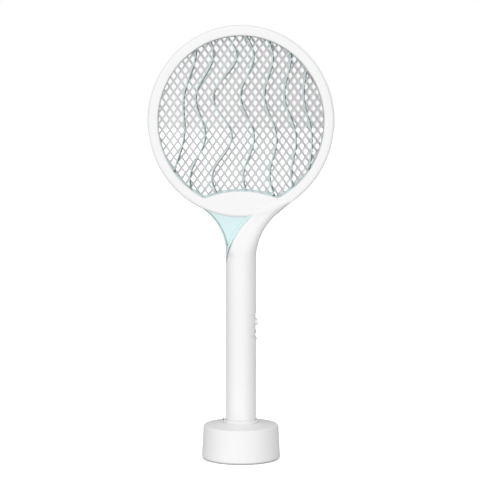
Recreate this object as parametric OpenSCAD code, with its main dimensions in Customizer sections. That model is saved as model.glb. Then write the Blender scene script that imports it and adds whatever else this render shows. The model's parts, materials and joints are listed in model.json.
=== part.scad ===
// Rechargeable electric fly swatter that stands in a round charging base.
// +Z is up, the front faces -Y, the switches are on +X.
// The origin is the centre of the base's underside.

/* [Head] */
// Width of the head over its outer edge
head_w = 215; // [175:0.5:262]
// Height of the head as a part of its width
head_ratio = 1.027; // [1:0.001:1.06]
// Width of the band around the window
band_w = 11.9; // [11:0.1:15]
// Thickness of the head from face to face
head_t = 26; // [24:0.5:32]
// Rounding of the head's outer edge
edge_r = 4; // [2:0.5:5]
// Rise of the solid chin above the lowest point of the window
chin_rise = 18.2; // [12:0.1:24]
// Radius of the chin's upper edge
chin_r = 109.3; // [90:0.1:140]

/* [Neck] */
// Height of the neck from the grip to the lowest point of the head
neck_len = 49.3; // [44:0.1:60]
// Radius of the flare on the tube's side of the neck
flare_r = 69; // [58:0.5:71]
// Radius of the insert's outer edge
insert_r = 62; // [52:0.5:70]
// Height above the start of the neck at which the insert's outer edge leaves the grip's side
insert_up = 8; // [4:0.5:10]
// Radius of the tube's sweep beside the coloured insert
sweep_r = 77; // [70:1:90]
// Drop of the sweep's centre below the start of the neck
sweep_drop = 9; // [5:0.5:12]
// Depth by which the insert lies below the neck's surface
insert_recess = 0.6; // [0.2:0.1:1.5]
// Depth of the insert's flat panel below the head's face
insert_pocket = 0.8; // [0.2:0.1:2]
// Width of the rim around the insert's flat panel
insert_rim = 2.4; // [1.5:0.1:3]

/* [Handle] */
// Outer diameter of the grip
grip_d = 35.2; // [33:0.1:43]
// Length of the grip from its foot to the neck
grip_len = 220; // [212:1:270]
// Wall of the moulded shells
shell_wall = 2; // [1.6:0.1:2.4]
// Height of the end cap's visible ring
cap_h = 3; // [2:0.5:6]

/* [Mesh] */
// Distance between diamonds across the head
mesh_pitch_x = 8.97; // [7:0.01:12]
// Distance between diamonds up the head
mesh_pitch_z = 12.48; // [10:0.01:16]
// Diameter of the mesh wire
wire_d = 1; // [0.7:0.05:1.3]
// Sideways shift of each guard mesh against the inner mesh
guard_shift = 1.1; // [0:0.1:3]
// Place of one diamond corner to the right of the head's centre
mesh_off_x = -1.2; // [-5:0.1:5]
// Place of the same corner above the head's centre
mesh_off_z = 2.8; // [-6:0.1:6]
// Width of mesh edge held under the band
mesh_edge = 3.6; // [2.5:0.1:4]
// Half thickness of the stack of meshes and rib frames
stack_half = 8; // [7:0.5:9]

/* [Ribs] */
// Width of a flowing rib
rib_w = 2.6; // [1.5:0.1:4]
// Height of the rib frame's rim that shows above the chin
rim_show = 2.3; // [0:0.1:5]
// Number of side to side swings of a rib
rib_swings = 2.1; // [1:0.1:4]

/* [Controls] */
// Height of the push button above the grip's foot
button_up = 147.3; // [140:0.1:152]
// Height of the slider above the grip's foot
slider_up = 136.1; // [130:0.1:141]
// Height of the indicator light above the grip's foot
light_up = 127.3; // [120:0.1:128]
// Height of the control panel
panel_h = 27; // [25:0.5:32]
// Width of the control panel across the grip
panel_w = 29.4; // [26:0.1:30]
// Length of the push button up the grip
button_h = 8; // [6:0.5:9]
// Width of the push button
button_w = 10; // [8:0.5:11]
// Height of the push button above the grip's surface
button_proud = 2.3; // [1:0.1:3]
// Travel of the push button
button_travel = 0.8; // [0.5:0.1:1]
// Travel of the slider each way from its middle position
slider_travel = 2; // [1.5:0.1:2.2]
// Length of the slider's knob up the grip
slider_knob_h = 4; // [3:0.1:4.2]
// Width of the slider's knob
slider_knob_w = 3.8; // [3:0.1:4.5]
// Height of the indicator light above the grip's surface
light_proud = 1.1; // [0.3:0.1:1.5]

/* [Base] */
// Diameter of the base at its foot
base_d = 91.4; // [84:0.1:112]
// Diameter of the base at its upper rim
rim_d = 87.8; // [80:0.1:108]
// Height of the upper rim
base_h = 39.3; // [34:0.1:48]
// Wall of the base shell
base_wall = 2.2; // [1.8:0.1:3]
// Rise of the base's top from the rim to the collar
crown_rise = 3; // [1:0.1:6]
// Rise of the collar above the base's top
collar_rise = 3.1; // [1:0.1:6]
// Wall of the collar and the socket
collar_wall = 2.2; // [1.8:0.1:3]
// Height of the socket's floor
seat_z = 13; // [12:0.1:20]
// Gap between the grip and the socket's wall
socket_gap = 0.4; // [0.3:0.05:1]
// Height of the foot ring below the base
foot_proud = 0.8; // [0.5:0.1:2]
// Diameter of the charging light in the base's top
base_light_d = 3; // [2:0.1:4]
// Height of the base's light above the base's top
base_light_proud = 1.2; // [0:0.1:1.5]

/* [Electrics] */
// Diameter of the battery cell
cell_d = 18.5; // [18:0.1:18.6]
// Length of the battery cell
cell_len = 65.2; // [65:0.1:70]
// Distance of each charging contact from the axis
contact_x = 7; // [5:0.1:9]
// Radius of each charging pin's shoulder
pin_r = 0.9; // [0.8:0.05:1]
// Thickness of the circuit boards
board_t = 1.6; // [1:0.1:1.6]

/* [Fits] */
// Gap between two pieces that are held together
fit_gap = 0.15; // [0.1:0.05:0.25]
// Gap around a piece that slides
slide_gap = 0.3; // [0.25:0.05:0.4]

/* [Hidden] */
$fn = 64;

// Sizes that follow from the values above
eps = 0.01;
big = 1200;
grip_r = grip_d / 2;
bore_r = grip_r - shell_wall;
neck_z = seat_z + grip_len;
head_low_z = neck_z + neck_len;
head_h = head_w * head_ratio;
head_z = head_low_z + head_h / 2;
head_r = head_w / 2;
window_r = head_r - band_w;
aspect = head_ratio;
half_t = head_t / 2;
window_low_z = head_z - window_r * aspect;
chin_top_z = window_low_z + chin_rise;
chin_z = chin_top_z - chin_r;
head_fn = 96;

// Neck: the flare is an arc that leaves the grip's side, and a line touches it and the head.
// Points of the line are given from the axis and up from the start of the neck.
flare_x = grip_r + flare_r;
touch_r = (head_r + head_h / 2) / 2;
touch_span = norm([flare_x, head_z - neck_z]);
touch_angle = 90 + atan(flare_x / (head_z - neck_z)) - asin((flare_r + touch_r) / touch_span);
touch_low = [flare_x - flare_r * sin(touch_angle), flare_r * cos(touch_angle)];
touch_high = [touch_r * sin(touch_angle), head_z - neck_z - touch_r * cos(touch_angle)];
sweep_x = sweep_r - grip_r;
sweep_z = neck_z - sweep_drop;
neck_steps = 16;
neck_sides = 40;
neck_top_z = neck_z + touch_high[1];
insert_reach = 0.92;
cavity_top_z = window_low_z - 2 * shell_wall;

// Stack: guard mesh, rib frame, inner mesh, rib frame, guard mesh
wire_gap = 0.1;
mesh_t = 2 * wire_d + wire_gap;
guard_y = stack_half - fit_gap - mesh_t / 2;
rib_y0 = mesh_t / 2 + fit_gap;
rib_y1 = guard_y - mesh_t / 2 - fit_gap;
mesh_r = window_r + mesh_edge;
mesh_rim_w = 3;
mesh_rim_t = 0.6;
rib_ring_r = mesh_r;

// Base
base_r = base_d / 2;
rim_r = rim_d / 2;
socket_r = grip_r + socket_gap;
collar_r = socket_r + collar_wall;
crown_z = base_h + crown_rise;
collar_z = crown_z + collar_rise;
floor_t = 2;
floor_z = seat_z - floor_t;
rim_fillet = 2;
foot_fillet = 2.5;
collar_fillet = 0.8;
top_t = 1.3;
ledge_w = 2;
seam_r = rim_r - rim_fillet - 1.5;
socket_flange = 3;
socket_flange_t = 1.6;
plate_t = 2;
plate_z = foot_proud + 0.2;
plate_top = plate_z + plate_t;
plate_r = wall_in_r(plate_top) - fit_gap;
board_z = plate_top + 1;
board_top = board_z + board_t;
foot_out_r = plate_r - 1;
foot_in_r = foot_out_r - 5;
foot_sink = 0.8;
boss_r = 3.6;
boss_out = 1.05;
boss_ring_r = (collar_r + seam_r - ledge_w) / 2 + boss_out;
boss_angles = [30, 150, 270];
post_angles = [68, 210, 330];
post_r = 1.8;
light_angle = 134.2;
light_ring_r = boss_ring_r - 1.4;
light_r = base_light_d / 2;
ballast_z = board_top + 4.4;
ballast_h = 6;
ballast_gap = 2.25;
board_gap = 1.25;
inlet_sink = 0.28;
barrel_r = pin_r + 0.6;
pin_spring = 0.6;
pin_tip = 0.5;

// Fasteners
screw_r = 1.25;
screw_hole_r = 1.5;
pilot_r = 1.3;
screw_head_r = 2.5;
screw_head_h = 1.6;
screw_gap = 0.15;
frame_boss_r = 2.5;
frame_boss_ring = (window_r + mesh_edge + head_r - shell_wall) / 2;
frame_boss_angles = [-28, 32, 90, 148, 208];
frame_snap_angles = [-46, -8, 12, 61, 119, 168, 188, 226];
handle_boss_r = 3;
battery_z = seat_z + 18;
battery_top = battery_z + cell_len;
handle_boss_z = [battery_top + 10.8, neck_z - 13];

// Controls, all along +X
button_z = seat_z + button_up;
slider_z = seat_z + slider_up;
light_z = seat_z + light_up;
panel_z = button_z + button_h / 2 + 6 - panel_h / 2;
panel_r = grip_r - 0.4;
panel_in_r = bore_r - 0.3;
button_x = grip_r + button_proud;
flange_x = bore_r - 3.4;
flange_t = 1;
sw_board_x = flange_x - 5.7;
sw_front = sw_board_x + board_t;
switch_top = flange_x - button_travel - 0.2;
sw_board_w = 19;
sw_board_low = light_z - 5;
sw_board_high = button_z + 11;
slider_flange_x = flange_x + flange_t + slide_gap;

// Places around the bore where the charging leads rise
charge_lead_angles = [195, -70];

// Main board
main_z0 = sw_board_high + 5;
main_z1 = handle_boss_z[1] - handle_boss_r - 4;
main_y = 1;
main_w = 2 * (bore_r - 2.6);

// ---------- Shared shapes ----------

// Points of a closed ellipse
function oval(a, b, n) = [for (i = [0:n - 1]) [a * cos(360 * i / n), b * sin(360 * i / n)]];

// Points of an arc from angle a0 to a1
function arc(cx, cz, r, a0, a1, n) =
    [for (i = [0:n]) let (a = a0 + (a1 - a0) * i / n) [cx + r * cos(a), cz + r * sin(a)]];

// Draws a plan in X and Z, and gives it depth from y0 to y1
module deep(y0, y1) {
    translate([0, y1, 0]) rotate([90, 0, 0]) linear_extrude(y1 - y0) children();
}

// Draws a plan in Y and Z, and gives it depth from x0 to x1
module sideways(x0, x1) {
    translate([x0, 0, 0]) rotate([90, 0, 90]) linear_extrude(x1 - x0) children();
}

// Keeps the half in front of the seam (side -1) or behind it (side 1)
module half(side) {
    intersection() {
        children();
        translate([-big / 2, side < 0 ? -big : 0, -big / 2]) cube(big);
    }
}

// Round bar along Y
module bar_y(x, z, r, y0, y1) {
    translate([x, y1, z]) rotate([90, 0, 0]) cylinder(r = r, h = y1 - y0);
}

// Round bar along X
module bar_x(y, z, r, x0, x1) {
    translate([x0, y, z]) rotate([0, 90, 0]) cylinder(r = r, h = x1 - x0);
}

// Plan with round ends, w wide and h high
module slot_plan(w, h) {
    r = min(w, h) / 2;
    square([w - (w > h ? 2 * r : 0), h - (h >= w ? 2 * r : 0)], center = true);
    for (s = [-1, 1])
        translate([w > h ? s * (w / 2 - r) : 0, h >= w ? s * (h / 2 - r) : 0]) circle(r);
}

// Insulated wire through its points, as one tube
function unit(v) = v / norm(v);
function heading(points, i) =
    let (last = len(points) - 1)
    let (before = i > 0 ? unit(points[i] - points[i - 1]) : [0, 0, 0])
    let (after = i < last ? unit(points[i + 1] - points[i]) : [0, 0, 0])
    unit(before + after);
function lead_ring(point, along, r, n) =
    let (u = unit(cross(along, [0, 1, 0])), v = cross(u, along))
    [for (j = [0:n - 1]) point + r * (cos(360 * j / n) * u + sin(360 * j / n) * v)];

module lead(points, r) {
    n = 8;
    count = len(points);
    rings = [for (i = [0:count - 1]) each lead_ring(points[i], heading(points, i), r, n)];
    walls = [for (i = [0:count - 2], j = [0:n - 1]) let (k = (j + 1) % n)
        [i * n + j, i * n + k, (i + 1) * n + k, (i + 1) * n + j]];
    foot = [for (j = [0:n - 1]) n - 1 - j];
    top = [for (j = [0:n - 1]) (count - 1) * n + j];
    polyhedron(rings, concat(walls, [foot, top]));
}

// Countersunk screw along +Z with its head's face at z = 0
module screw(length) {
    cylinder(r1 = screw_head_r, r2 = screw_r, h = screw_head_h);
    cylinder(r = screw_r, h = length);
}

// Space for such a screw: the head's recess and a clear hole
module screw_space(length) {
    translate([0, 0, -eps]) cylinder(r = screw_head_r + screw_gap, h = screw_gap + eps);
    translate([0, 0, screw_gap])
        cylinder(r1 = screw_head_r + screw_gap, r2 = screw_hole_r, h = screw_head_h);
    cylinder(r = screw_hole_r, h = length);
}

// Round bar through the head, scaled to the head's outline
module head_disc(r, y0, y1) {
    translate([0, 0, head_z]) deep(y0, y1) scale([1, aspect]) circle(r, $fn = head_fn);
}

// ---------- Head frame ----------

// Ring around the window, both halves together
module ring_solid() {
    band = concat(
        [[window_r, -half_t + 1], [window_r + 1, -half_t]],
        arc(head_r - edge_r, -half_t + edge_r, edge_r, -90, 0, 4),
        arc(head_r - edge_r, half_t - edge_r, edge_r, 0, 90, 4),
        [[window_r + 1, half_t], [window_r, half_t - 1]]);
    translate([0, 0, head_z]) scale([1, 1, aspect]) rotate([90, 0, 0])
        rotate_extrude($fn = head_fn) polygon(band);
}

module ring_hollow() {
    translate([0, 0, head_z]) scale([1, 1, aspect]) rotate([90, 0, 0])
        rotate_extrude($fn = head_fn)
            translate([window_r + shell_wall, -half_t + shell_wall])
                square([band_w - 2 * shell_wall, head_t - 2 * shell_wall]);
}

// Half widths of the neck at height z. The tube's side follows its flare, then a line
// that touches the head; the insert's side follows a tighter arc up to the head.
function arc_out(r, up) = r - sqrt(pow(r, 2) - pow(max(0, min(up, r)), 2));
function tube_side(z) = let (up = z - neck_z)
    up < touch_low[1] ? grip_r + arc_out(flare_r, up)
    : touch_low[0] + (min(up, touch_high[1]) - touch_low[1]) / tan(touch_angle);
function insert_side(z) =
    grip_r + arc_out(insert_r, min(z - neck_z - insert_up, insert_reach * insert_r));
function neck_blend(z) = let (t = max(0, min(1, (z - neck_z) / neck_len))) t * t * (3 - 2 * t);
function neck_half_d(z) = grip_r + (half_t - grip_r) * neck_blend(z);

// Points of the neck's outline at height z: a plan with round ends
function neck_ring(z, inset) =
    let (d = neck_half_d(z) - inset, n = neck_sides / 2)
    [for (side = [1, -1])
        let (w = max((side > 0 ? tube_side(z) : insert_side(z)) - inset, d))
        for (i = [0:n - 1]) let (a = -90 * side + 180 * (i + 0.5) / n)
            [side * (w - d) + d * cos(a), d * sin(a), z]];

// Loft of the neck; inset draws it smaller all round
module neck_solid(inset, low_z, top_z) {
    n = neck_sides;
    points = [for (i = [0:neck_steps])
        each neck_ring(low_z + (top_z - low_z) * i / neck_steps, inset)];
    walls = [for (i = [0:neck_steps - 1], j = [0:n - 1]) let (k = (j + 1) % n)
        [i * n + j, (i + 1) * n + j, (i + 1) * n + k, i * n + k]];
    foot = [for (j = [0:n - 1]) j];
    top = [for (j = [0:n - 1]) neck_steps * n + n - 1 - j];
    polyhedron(points, concat(walls, [foot, top]));
}

// Round sweep of the tube, seen from the front; grow moves its edge
module sweep_plan(grow) {
    translate([sweep_x, sweep_z]) circle(sweep_r + grow, $fn = 96);
}

// Zone of the coloured insert: left of the sweep and outside an oval of radius ring_r
module insert_zone(grow, ring_r) {
    deep(-grip_d, grip_d) difference() {
        translate([-head_r, neck_z - 1]) square([head_r + grip_r, 2 * neck_len]);
        sweep_plan(-grow);
        translate([0, head_z]) scale([1, aspect]) circle(ring_r, $fn = 83);
    }
}

module chin_plan(inset) {
    intersection() {
        translate([0, chin_z]) circle(chin_r - inset, $fn = 120);
        translate([0, head_z]) scale([1, aspect]) circle(window_r + 1.6 - inset, $fn = 89);
    }
}

module chin(side) {
    face = side * half_t;
    back = side * stack_half;
    skin = side * (half_t - shell_wall);
    difference() {
        deep(min(face, back), max(face, back)) chin_plan(0);
        deep(min(skin, back - side), max(skin, back - side)) chin_plan(shell_wall);
    }
}

// Places its children at each screw of the head
module at_frame_screws() {
    for (a = frame_boss_angles)
        translate([frame_boss_ring * cos(a), 0, head_z + frame_boss_ring * aspect * sin(a)])
            children();
}

// Collar that joins the neck to the grip's bore
module neck_spigot() {
    spigot_r = bore_r - fit_gap;
    reach = 7;
    translate([0, 0, neck_z - reach]) difference() {
        union() {
            cylinder(r = spigot_r, h = reach + 1);
            translate([0, 0, reach + 0.2]) cylinder(r = grip_r - shell_wall / 2, h = 2);
        }
        translate([0, 0, -1]) cylinder(r = spigot_r - 1.6, h = reach + 4);
    }
}

// Snap hooks that hold the two halves together between the screws
module snap_hooks() {
    for (a = frame_snap_angles)
        translate([frame_boss_ring * cos(a), 0, head_z + frame_boss_ring * aspect * sin(a)])
            rotate([0, -a, 0]) hull() {
                translate([0.6, -half_t + 1.2, -3]) cube([0.8, 2 * half_t - 2.4, 6]);
                translate([0.9, -half_t + 1.2, -4]) cube([1.6, 1, 8]);
                translate([0.9, half_t - 2.2, -4]) cube([1.6, 1, 8]);
            }
}

module frame_body(side) {
    difference() {
        union() {
            difference() {
                union() {
                    ring_solid();
                    difference() {
                        neck_solid(0, neck_z, neck_top_z);
                        head_disc(window_r + 1.3, -half_t - 5, half_t + 5);
                        insert_zone(fit_gap, head_r - 1);
                    }
                }
                ring_hollow();
                intersection() {
                    neck_solid(shell_wall, neck_z - 1, cavity_top_z);
                    deep(-grip_d, grip_d) sweep_plan(-shell_wall);
                }
            }
            chin(side);
            at_frame_screws() bar_y(0, 0, frame_boss_r, -half_t + 1, half_t - 1);
            snap_hooks();
            neck_spigot();
        }
        head_disc(mesh_r + fit_gap, -stack_half, stack_half);
        at_frame_screws() bar_y(0, 0, pilot_r, -half_t + 3, 1);
        at_frame_screws() translate([0, half_t, 0]) rotate([90, 0, 0]) screw_space(half_t - 0.5);
    }
}

module front_frame() {
    color("white") half(-1) frame_body(-1);
}

module rear_frame() {
    color("white") half(1) frame_body(1);
}

// Coloured web between the tube, the ring and the left flare
module neck_insert() {
    low = neck_z + insert_up;
    face = half_t - insert_pocket;
    color("powderblue") difference() {
        intersection() {
            neck_solid(insert_recess, low, head_low_z + 0.35 * neck_len);
            insert_zone(0, head_r + fit_gap);
        }
        for (side = [-1, 1]) translate([0, side * (face + grip_d), 0])
            deep(-grip_d, grip_d) insert_panel_plan();
    }
}

// Flat triangular panel, an even rim inside the insert's outline
module insert_panel_plan() {
    rim = insert_rim;
    difference() {
        translate([-head_r, neck_z]) square([head_r + grip_r, 2 * neck_len]);
        sweep_plan(rim);
        translate([-grip_r - insert_r, neck_z + insert_up]) circle(insert_r + rim, $fn = 96);
        translate([0, head_z]) scale([1, aspect]) circle(head_r + rim / 2, $fn = head_fn);
    }
}

// ---------- Meshes and ribs ----------

// Wires of one direction, each ending on the mesh's oval edge
module wire_set(angle, y, shift_x) {
    a = mesh_r - 0.4;
    b = a * aspect;
    ux = cos(angle);
    uz = sin(angle);
    pitch = mesh_pitch_x * abs(uz);
    first = -shift_x * uz + mesh_off_z * ux;
    count = ceil(b / pitch);
    for (k = [-count:count]) {
        s = first + k * pitch;
        qa = pow(ux / a, 2) + pow(uz / b, 2);
        qb = 2 * s * ux * uz * (1 / pow(b, 2) - 1 / pow(a, 2));
        qc = pow(s * uz / a, 2) + pow(s * ux / b, 2) - 1;
        disc = pow(qb, 2) - 4 * qa * qc;
        if (disc > 4 * pow(qa * 6, 2)) {
            t0 = (-qb - sqrt(disc)) / (2 * qa);
            t1 = (-qb + sqrt(disc)) / (2 * qa);
            translate([-s * uz + t0 * ux, y, head_z + s * ux + t0 * uz])
                rotate([0, 90 - angle, 0]) cylinder(d = wire_d, h = t1 - t0, $fn = 16);
        }
    }
}

// Mesh of two crossing sets of wires on a thin rim
module mesh_layer(y, shift_x) {
    angle = atan2(mesh_pitch_z, mesh_pitch_x);
    wire_set(angle, y - (wire_d + wire_gap) / 2, mesh_off_x + shift_x);
    wire_set(-angle, y + (wire_d + wire_gap) / 2, mesh_off_x + shift_x);
    translate([0, 0, head_z]) deep(y - mesh_rim_t / 2, y + mesh_rim_t / 2) difference() {
        polygon(oval(mesh_r, mesh_r * aspect, 72));
        polygon(oval(mesh_r - mesh_rim_w, (mesh_r - mesh_rim_w) * aspect, 72));
    }
}

module front_guard_mesh() {
    color("silver") mesh_layer(-guard_y, guard_shift);
}

module inner_mesh() {
    color("gainsboro") mesh_layer(0, 0);
}

module rear_guard_mesh() {
    color("silver") mesh_layer(guard_y, -guard_shift);
}

// Each rib: place at the top, place at the bottom, swing, all as parts of the window's half width
RIBS = [[-0.55, -0.84, 0.04], [-0.40, -0.58, 0.09], [-0.18, -0.26, 0.14], [0.06, 0.10, 0.09],
    [0.30, 0.42, 0.07], [0.52, 0.68, 0.06], [0.74, 0.88, 0.04]];

// Place across the window of a rib at t, from 0 at the top to 1 at the bottom
function rib_x(rib, t) = window_r * (rib[0] + (rib[1] - rib[0]) * t
    + rib[2] * sin(360 * rib_swings * t) * (1 - 0.3 * t));
function rib_edge(rib, side, n) = [for (i = [0:n])
    [rib_x(rib, i / n) + side * rib_w / 2, (1 - 2 * i / n) * window_r * aspect]];
function reversed(list) = [for (i = [len(list) - 1:-1:0]) list[i]];

module rib_plan() {
    n = 28;
    inner = mesh_r - mesh_edge;
    intersection() {
        polygon(oval(inner + 1, (inner + 1) * aspect, 72));
        union() {
            for (rib = RIBS) polygon(concat(rib_edge(rib, -1, n), reversed(rib_edge(rib, 1, n))));
        }
    }
}

// Rim of the rib frame: its inner edge rises so that it shows above the chin
module rib_frame_plan() {
    inner = window_r;
    difference() {
        polygon(oval(rib_ring_r, rib_ring_r * aspect, 72));
        difference() {
            translate([0, rim_show]) polygon(oval(inner, inner * aspect, 72));
            translate([0, chin_z - head_z]) circle(chin_r + rim_show);
        }
    }
    rib_plan();
}

module front_rib_frame() {
    color("powderblue") translate([0, 0, head_z]) deep(-rib_y1, -rib_y0) rib_frame_plan();
}

module rear_rib_frame() {
    color("powderblue") translate([0, 0, head_z]) deep(rib_y0, rib_y1) rib_frame_plan();
}

// ---------- Handle ----------

// Opening for the control panel; grow widens it
module panel_zone(grow) {
    w = panel_w + 2 * grow;
    h = panel_h + 2 * grow;
    r = 3;
    sideways(0, grip_d) translate([0, panel_z]) {
        square([w - 2 * r, h], center = true);
        square([w, h - 2 * r], center = true);
        for (sy = [-1, 1], sz = [-1, 1])
            translate([sy * (w / 2 - r), sz * (h / 2 - r)]) circle(r);
    }
}

module handle_shell(side) {
    z0 = seat_z + cap_h;
    difference() {
        half(side) union() {
            translate([0, 0, z0]) difference() {
                cylinder(r = grip_r, h = neck_z - z0);
                translate([0, 0, -1]) cylinder(r = bore_r, h = neck_z - z0 + 2);
            }
            for (z = handle_boss_z) bar_y(0, z, handle_boss_r, -bore_r - 1, bore_r + 1);
        }
        panel_zone(0);
        bar_x(0, light_z, base_light_d / 2 + fit_gap, 0, grip_d);
        for (z = handle_boss_z) {
            bar_y(0, z, pilot_r, -grip_r + 3, eps);
            translate([0, grip_r - 0.6, z]) rotate([90, 0, 0]) screw_space(grip_r);
            bar_y(0, z, screw_head_r + screw_gap, grip_r - 0.6, grip_d);
        }
    }
}

module handle_front_shell() {
    color("white") handle_shell(-1);
}

module handle_rear_shell() {
    color("white") handle_shell(1);
}

// Cap that closes the grip's foot and holds the charging pads
module handle_end_cap() {
    skirt_r = bore_r - fit_gap;
    color("white") difference() {
        union() {
            translate([0, 0, seat_z + 0.1]) cylinder(r = grip_r, h = cap_h - 0.1);
            translate([0, 0, seat_z + cap_h]) cylinder(r = skirt_r, h = 8);
        }
        translate([0, 0, seat_z + cap_h]) cylinder(r = skirt_r - 1.6, h = 9);
        for (s = [-1, 1]) translate([s * contact_x, 0, seat_z]) {
            translate([0, 0, -1]) cylinder(r = 3 + fit_gap, h = 2.3);
            cylinder(r = 0.8 + fit_gap, h = 9);
        }
    }
}

module charge_pads() {
    color("gold") for (s = [-1, 1]) translate([s * contact_x, 0, seat_z + 0.1]) {
        cylinder(r = 3, h = 1.1);
        cylinder(r = 0.8, h = 4.4);
    }
}

module battery_cell() {
    color("steelblue") translate([0, 0, battery_z]) {
        cylinder(d = cell_d, h = cell_len - 1);
        cylinder(r = 3, h = cell_len);
    }
}

// Trough behind the cell, with end walls and a fin to the rear shell
module battery_cradle() {
    r0 = cell_d / 2 + slide_gap;
    z0 = battery_z - 4.6;
    z1 = battery_top + 2.4;
    color("dimgray") difference() {
        union() {
            half(1) translate([0, 0, z0]) cylinder(r = r0 + 1.4, h = z1 - z0);
            translate([-1, r0 + 0.5, z0 + 4]) cube([2, bore_r - r0 - 0.8, z1 - z0 - 8]);
        }
        translate([0, 0, z0 + 1.2]) cylinder(r = r0, h = z1 - z0 - 2.4);
    }
}

// Plate at the cell's upper end, with a solder tag
module battery_contact() {
    color("silver") translate([0, 0, battery_top + fit_gap / 2]) difference() {
        translate([-5.5, -6, 0]) cube([11, 12, 0.5]);
        translate([-8, 4.2, -1]) cube([16, 4, 3]);
    }
}

// Points of a spring's wire ring at turn angle a
function coil_point(r, rise, a, wire, b) =
    [(r + wire * cos(b)) * cos(a), (r + wire * cos(b)) * sin(a), rise * a / 360 + wire * sin(b)];

// Tapered coil spring under the cell
module battery_spring() {
    turns = 2.5;
    wire = 0.35;
    sides = 6;
    steps = 40;
    height = battery_z - (battery_z - 4.6 + 1.2) - 2 * wire - 2 * fit_gap;
    points = [for (i = [0:steps], j = [0:sides - 1])
        coil_point(6 - 3 * i / steps, height / turns, 360 * turns * i / steps, wire, 360 * j / sides)];
    faces = [for (i = [0:steps - 1], j = [0:sides - 1]) let (k = (j + 1) % sides)
        [i * sides + j, (i + 1) * sides + j, (i + 1) * sides + k, i * sides + k]];
    first = [for (j = [0:sides - 1]) j];
    last = [for (j = [0:sides - 1]) steps * sides + sides - 1 - j];
    color("silver") translate([0, 0, battery_z - 3.4 + wire + fit_gap])
        polyhedron(points, concat(faces, [first, last]));
}

// ---------- Circuits ----------

module main_board() {
    color("darkgreen") translate([-main_w / 2, main_y, main_z0])
        cube([main_w, board_t, main_z1 - main_z0]);
}

module transformer() {
    color("goldenrod") translate([-8, main_y - 11 - fit_gap, main_z0 + 3]) {
        cube([16, 11, 4]);
        translate([2, 1, 4]) cube([12, 9, 7]);
        translate([0, 0, 11]) cube([16, 11, 4]);
    }
}

module hv_capacitors() {
    color("firebrick") for (i = [0, 1])
        translate([-6, main_y - 6 - fit_gap, main_z0 + 20 + i * 6.4]) cube([12, 6, 5]);
}

module bleed_resistor() {
    y = main_y + board_t + 1.6;
    color("tan") {
        bar_x(y, main_z0 + 12, 1.2, -3.5, 3.5);
        bar_x(y, main_z0 + 12, 0.35, -6, 6);
    }
}

module switch_board() {
    color("darkgreen") translate([sw_board_x, -sw_board_w / 2, sw_board_low])
        cube([board_t, sw_board_w, sw_board_high - sw_board_low]);
}

// Push switch with a bore for its plunger
module push_switch() {
    x0 = sw_front + fit_gap / 2;
    color("black") difference() {
        translate([x0, -3, button_z - 3]) cube([switch_top - x0, 6, 6]);
        bar_x(0, button_z, 1.5 + slide_gap, switch_top - button_travel - 1.2, switch_top + 1);
    }
}

module slide_switch() {
    x0 = sw_front + fit_gap / 2;
    top = switch_top;
    groove = 2 * (0.8 + slider_travel + slide_gap);
    color("silver") difference() {
        translate([x0, -2.2, slider_z - 4.3]) cube([top - x0, 4.4, 8.6]);
        translate([top - 1.8, -0.8 - slide_gap, slider_z - groove / 2])
            cube([3, 1.6 + 2 * slide_gap, groove]);
    }
}

// Curved plate that carries the button and the slider
module switch_panel() {
    slot_h = slider_knob_h + 2 * (slider_travel + slide_gap);
    color("whitesmoke") difference() {
        intersection() {
            translate([0, 0, panel_z - panel_h]) difference() {
                cylinder(r = panel_r, h = 2 * panel_h);
                translate([0, 0, -1]) cylinder(r = panel_in_r, h = 2 * panel_h + 2);
            }
            panel_zone(-fit_gap);
        }
        sideways(0, grip_d) translate([0, button_z])
            slot_plan(button_w + 2 * slide_gap, button_h + 2 * slide_gap);
        sideways(0, grip_d) translate([0, slider_z])
            square([slider_knob_w + 2 * slide_gap, slot_h], center = true);
    }
}

// Light rod beside the switch board
module indicator_light() {
    color("honeydew") {
        bar_x(0, light_z, base_light_d / 2, sw_front + fit_gap / 2, grip_r + 0.1);
        bar_x(0, light_z, base_light_d / 2 - 0.4, grip_r, grip_r + light_proud);
    }
}

// Push button with a flange behind the panel
module trigger_button() {
    color("powderblue") {
        sideways(flange_x, flange_x + flange_t) translate([0, button_z])
            slot_plan(button_w + 2, button_h + 2);
        sideways(flange_x + flange_t, button_x - 0.5) translate([0, button_z])
            slot_plan(button_w, button_h);
        sideways(button_x - 0.5, button_x) translate([0, button_z])
            slot_plan(button_w - 1, button_h - 1);
    }
}

// Plunger that the button pushes into its switch
module switch_plunger() {
    color("dimgray") bar_x(0, button_z, 1.5, switch_top - 1, flange_x);
}

module mode_slider() {
    color("black") {
        sideways(switch_top - 1.5, slider_flange_x) translate([0, slider_z])
            square(1.6, center = true);
        sideways(slider_flange_x, slider_flange_x + 0.8) translate([0, slider_z])
            square([slider_knob_w + 1.6, slider_knob_h + 2.8], center = true);
        sideways(slider_flange_x + 0.8, panel_r + 0.3) translate([0, slider_z])
            square([slider_knob_w, slider_knob_h], center = true);
    }
}

// ---------- Leads ----------

// High voltage lead to the inner mesh and earth leads to the guards
module mesh_leads() {
    z0 = main_z1 - 2;
    z1 = head_z - mesh_r * aspect * sqrt(1 - pow(20 / mesh_r, 2)) - 0.9;
    color("firebrick") for (i = [-1, 0, 1])
        lead([[5, main_y - 0.9, z0] + [0, i * 1.9 - 1.9, 0], [6, i * 4, neck_z + 8],
            [12, i * 5, neck_z + 0.55 * neck_len], [20, i * guard_y, z1]], 0.7);
}

module battery_leads() {
    z0 = battery_top + 1.6;
    z1 = main_z0 - 0.8;
    color("black") for (x = [-5, 4.2]) lead([[x, -1.5, z0 + 2.4], [x, -1.5, z1]], 0.7);
}

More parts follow.
